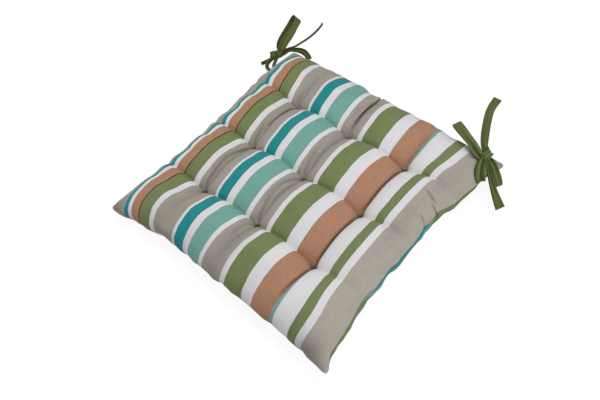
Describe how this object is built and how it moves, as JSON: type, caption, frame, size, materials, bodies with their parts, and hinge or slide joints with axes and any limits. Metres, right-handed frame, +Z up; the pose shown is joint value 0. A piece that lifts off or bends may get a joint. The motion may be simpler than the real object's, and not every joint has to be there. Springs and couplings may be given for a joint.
{
  "type": "chair pad",
  "caption": "Square tufted chair pad in multi-striped cloth, with fabric ties knotted in bows at the back corners.",
  "frame": {"origin": "bottom centre of the whole object's box, ties and bows included, on the surface the pad lies on", "axes": "+Z up out of the pad's upper side, +Y from the front edge to the back edge with the bows and along the stripes, +X along the front edge"},
  "size_m": [0.4732, 0.4814, 0.0796],
  "materials": {
    "striped_cloth": "matte plain-weave cotton, printed or woven in stripes",
    "tie_cloth": "matte plain-weave cotton, green"
  },
  "bodies": {
    "root": {"pad": "striped_cloth", "tie_right_side": "tie_cloth", "tie_right_back": "tie_cloth", "tie_left_back": "tie_cloth", "tie_left_side": "tie_cloth"}
  },
  "joints": []
}
